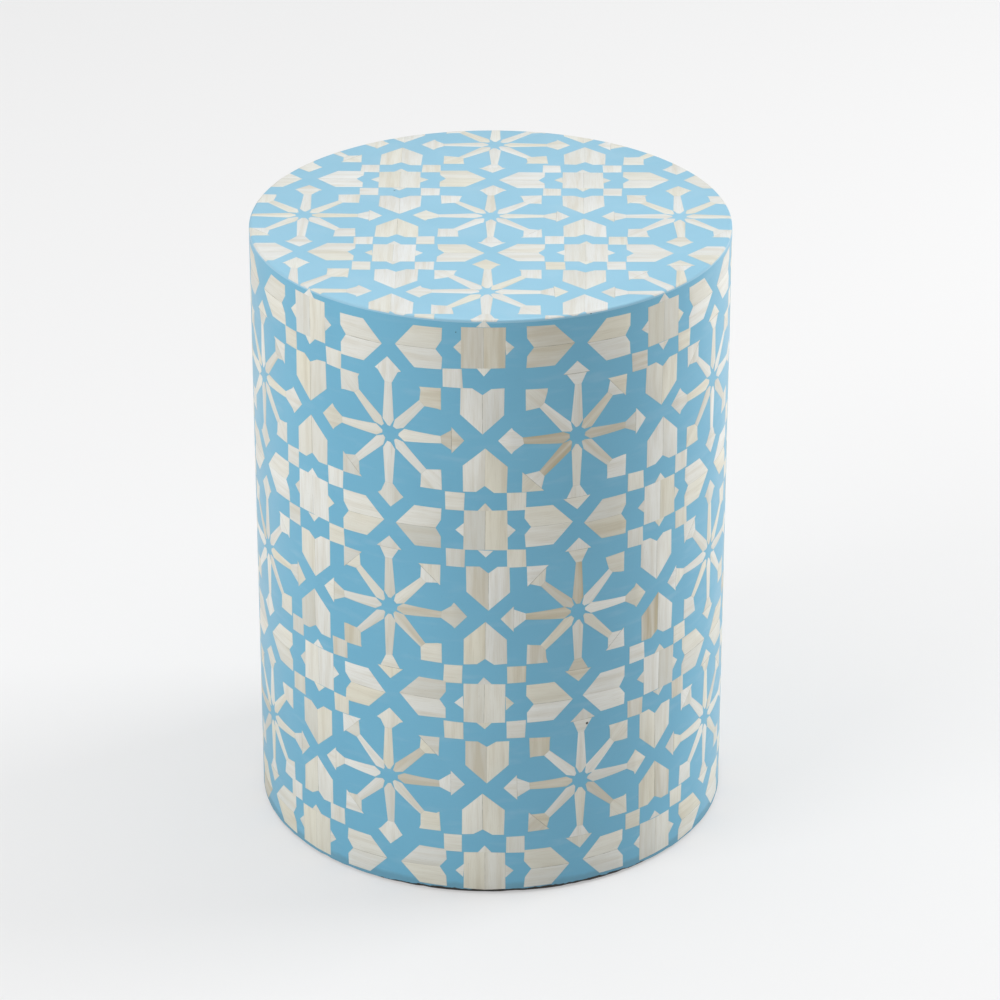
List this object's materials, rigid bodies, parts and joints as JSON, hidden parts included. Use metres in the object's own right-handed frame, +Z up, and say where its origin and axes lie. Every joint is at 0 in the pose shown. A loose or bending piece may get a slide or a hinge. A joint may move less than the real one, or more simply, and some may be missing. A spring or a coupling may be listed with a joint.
{
  "type": "drum stool",
  "caption": "Round drum stool of wood, its wall and top dressed with geometric bone chips set in blue resin; it stands on low glides.",
  "frame": {"origin": "on the floor under the drum's centre", "axes": "+Z up through the seat; -Y is the front, where a column of rosettes runs down the wall"},
  "size_m": [0.34, 0.34, 0.45],
  "materials": {
    "blue_resin": "sky blue cast resin, sanded flush and lacquered",
    "bone": "ivory bone chips with fine grain, sanded flush and lacquered",
    "bent_plywood": "raw bending plywood",
    "softwood": "sawn softwood",
    "ring_board": "sawn board",
    "painted_board": "board painted dark brown",
    "glide_plastic": "black moulded plastic",
    "nail_steel": "bright steel"
  },
  "bodies": {
    "root": {"resin_side": "blue_resin", "resin_top": "blue_resin", "star_ray_1": "bone", "star_head_1": "bone", "star_ray_2": "bone", "star_head_2": "bone", "star_ray_3": "bone", "star_head_3": "bone", "star_ray_4": "bone", "star_head_4": "bone", "star_ray_5": "bone", "star_head_5": "bone", "star_ray_6": "bone", "star_head_6": "bone", "star_ray_7": "bone", "star_head_7": "bone", "star_ray_8": "bone", "star_head_8": "bone", "skin_left": "bent_plywood", "skin_right": "bent_plywood", "batten_1": "softwood", "batten_2": "softwood", "batten_3": "softwood", "batten_4": "softwood", "batten_5": "softwood", "batten_6": "softwood", "batten_7": "softwood", "batten_8": "softwood", "former_1": "ring_board", "former_2": "ring_board", "top_board": "ring_board", "bottom_board": "painted_board", "glide_1": "glide_plastic", "glide_nail_1": "nail_steel", "glide_2": "glide_plastic", "glide_nail_2": "nail_steel", "glide_3": "glide_plastic", "glide_nail_3": "nail_steel", "glide_4": "glide_plastic", "glide_nail_4": "nail_steel"}
  },
  "joints": []
}
